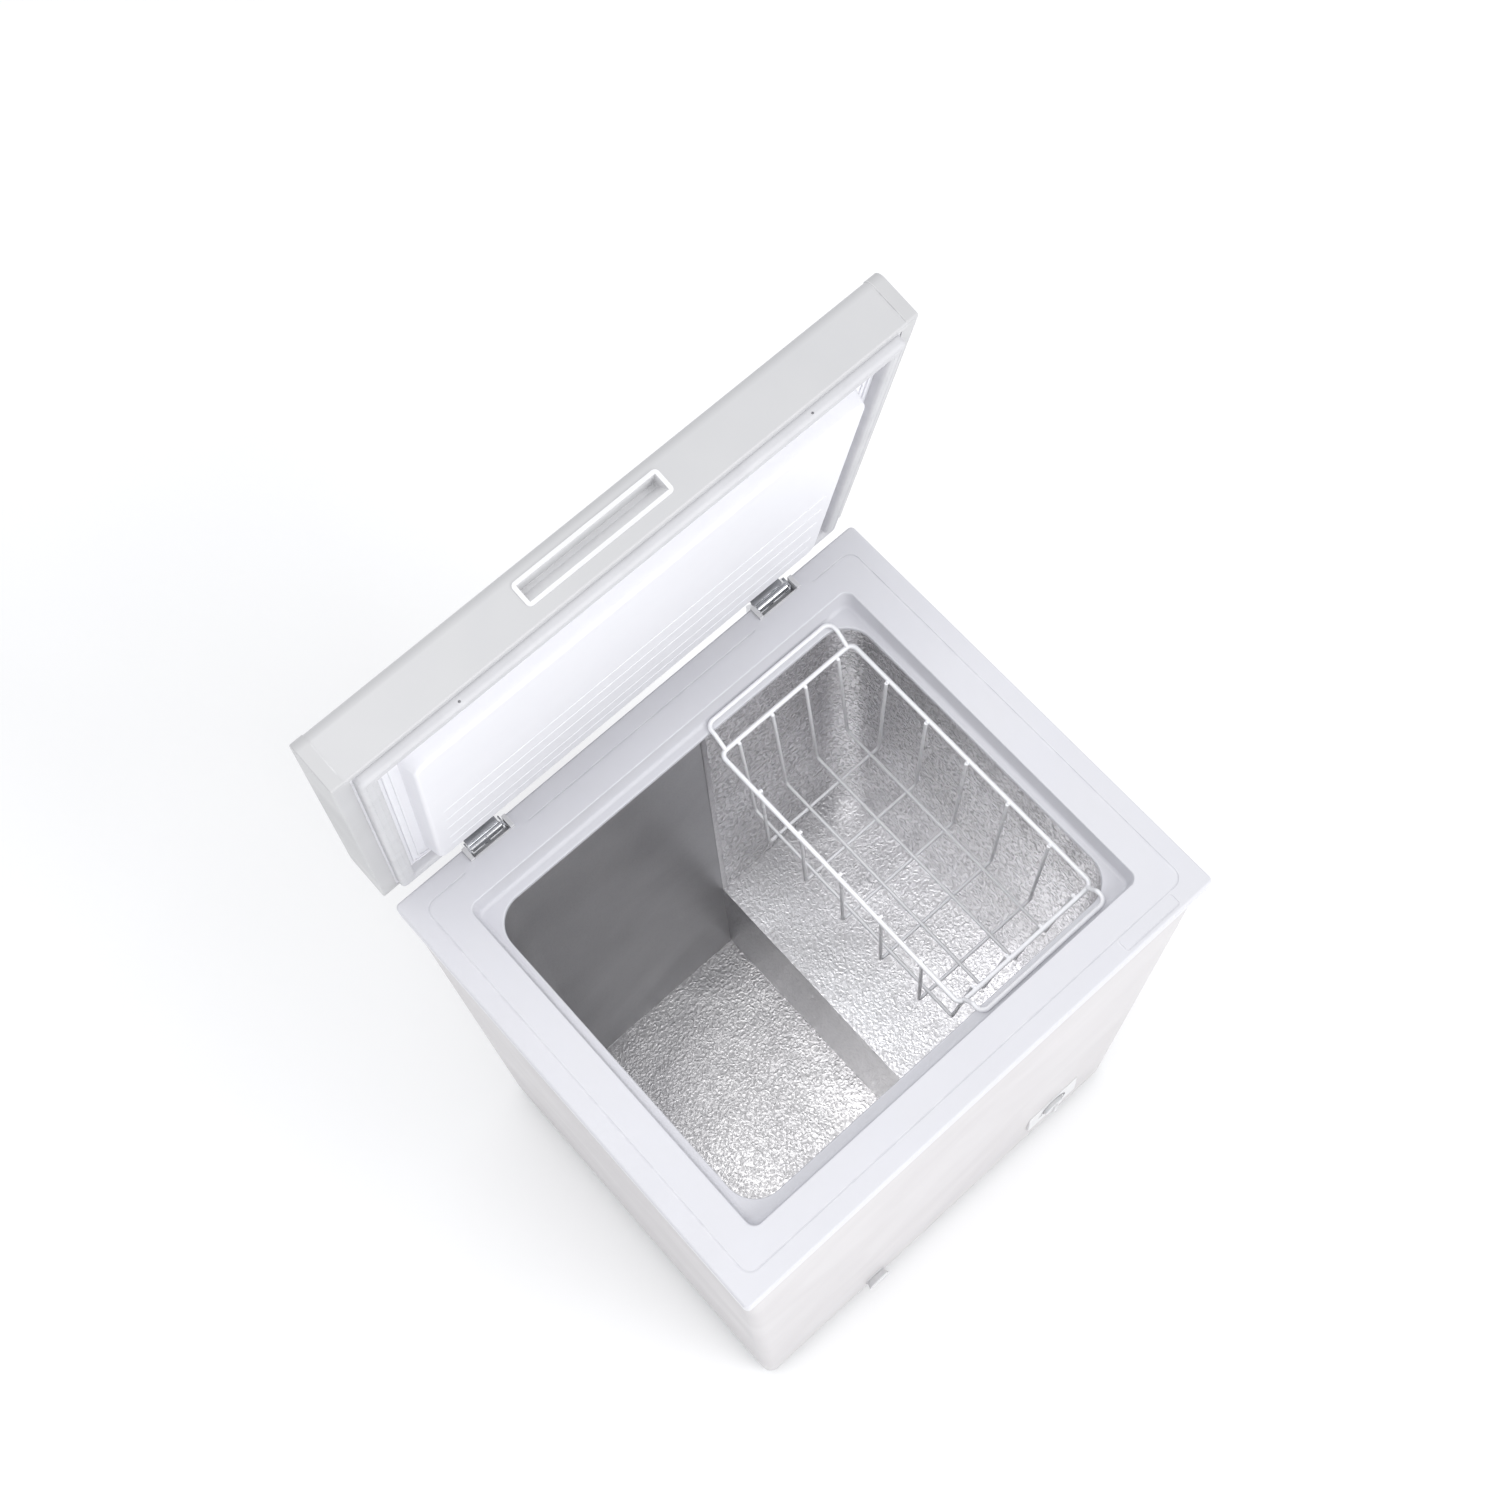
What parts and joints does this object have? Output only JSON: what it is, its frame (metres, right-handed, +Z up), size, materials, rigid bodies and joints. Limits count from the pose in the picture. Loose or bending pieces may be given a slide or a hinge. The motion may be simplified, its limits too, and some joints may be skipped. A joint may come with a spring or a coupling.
{
  "type": "chest freezer",
  "caption": "Small white chest freezer with a hinged foam-filled lid standing open, stepped embossed-metal inside, hanging wire basket and low front control dial.",
  "frame": {"origin": "on the floor under the middle of the whole freezer, with its lid standing open", "axes": "+Z up, +X to the right seen from the front, and the front faces -Y"},
  "size_m": [0.546, 0.5293, 1.2501],
  "materials": {
    "white_painted_steel": "smooth white enamel on steel sheet",
    "white_lid_skin": "glossy white enamel",
    "white_moulding": "white moulded plastic, light gloss",
    "grey_white_cap": "off-white moulded plastic",
    "embossed_aluminium": "stucco-embossed sheet",
    "zinc_sheet": "zinc-plated sheet",
    "zinc_screw": "zinc-plated",
    "chromed_hinge": "bright plated",
    "spring_steel": "oiled wire",
    "insulation": "rigid foam",
    "seal": "soft white vinyl",
    "copper_tube": "drawn copper",
    "compressor_black": "black enamel",
    "black_rubber": "moulded rubber",
    "black_plastic": "moulded plastic",
    "grey_plastic": "moulded plastic",
    "grey_pocket": "satin moulding",
    "white_rubber": "soft white rubber",
    "white_wire": "white dip-coated steel wire",
    "amber_lamp": "translucent amber"
  },
  "bodies": {
    "cabinet": {"cabinet_wrap": "white_painted_steel", "back_panel": "white_painted_steel", "base_plate": "zinc_sheet", "back_screws": "zinc_screw", "rear_grille": "grey_plastic", "grille_screws": "zinc_screw", "power_inlet_gland": "black_plastic", "top_frame": "white_moulding", "foam_base": "insulation", "foam_walls": "insulation", "foam_corners": "insulation", "foam_rim": "insulation", "liner_walls": "embossed_aluminium", "liner_floor": "embossed_aluminium", "liner_step": "embossed_aluminium", "machine_bay_wall": "zinc_sheet", "evaporator_tube": "copper_tube", "condenser_tube": "copper_tube", "filter_drier": "copper_tube", "suction_line": "copper_tube", "discharge_line": "copper_tube", "capillary_tube": "copper_tube", "compressor": "compressor_black", "compressor_grommets": "black_rubber", "compressor_bolts": "zinc_screw", "relay_cover": "black_plastic", "thermostat_body": "grey_plastic", "thermostat_panel": "white_moulding", "indicator_lamp": "amber_lamp", "drain_pipe": "white_moulding", "foot_front_left": "black_plastic", "foot_front_right": "black_plastic", "foot_rear_left": "black_plastic", "foot_rear_right": "black_plastic", "hinge_bracket_left": "chromed_hinge", "hinge_bracket_right": "chromed_hinge", "hinge_bracket_screws": "zinc_screw", "hinge_pin_left": "chromed_hinge", "hinge_pin_right": "chromed_hinge", "hinge_spring_left": "spring_steel", "hinge_spring_right": "spring_steel", "hinge_cover_left": "white_moulding", "hinge_cover_right": "white_moulding"},
    "lid": {"lid_skin": "white_lid_skin", "lid_end_cap_left": "grey_white_cap", "lid_end_cap_right": "grey_white_cap", "lid_foam": "insulation", "lid_liner": "white_moulding", "lid_gasket": "seal", "handle_pocket": "grey_pocket", "hinge_leaf_left": "chromed_hinge", "hinge_leaf_right": "chromed_hinge", "hinge_leaf_screws": "zinc_screw"},
    "basket": {"basket_rim": "white_wire", "basket_hangers": "white_wire", "basket_cross_wires": "white_wire", "basket_long_wires": "white_wire"},
    "dial": {"thermostat_knob": "white_moulding"},
    "outer_drain_cap": {"drain_cap": "white_moulding"},
    "inner_drain_plug": {"floor_plug": "white_rubber"}
  },
  "joints": [
    {"name": "lid_hinge", "type": "hinge", "parent": "cabinet", "child": "lid", "pos_m": [0, 0.2023, 0.787], "axis": [-1, 0, 0], "range_deg": [-80, 5], "deforming": ["hinge_spring_left", "hinge_spring_right"]},
    {"name": "basket_lift", "type": "slide", "parent": "cabinet", "child": "basket", "axis": [0, 0, 1], "range_m": [0, 0.2]},
    {"name": "dial_turn", "type": "hinge", "parent": "cabinet", "child": "dial", "pos_m": [0.167, -0.2587, 0.132], "axis": [0, 1, 0], "range_deg": [-120, 120]},
    {"name": "drain_cap_pull", "type": "slide", "parent": "cabinet", "child": "outer_drain_cap", "axis": [0, -1, 0], "range_m": [0, 0.03]},
    {"name": "drain_plug_lift", "type": "slide", "parent": "cabinet", "child": "inner_drain_plug", "axis": [0, 0, 1], "range_m": [0, 0.05]}
  ]
}
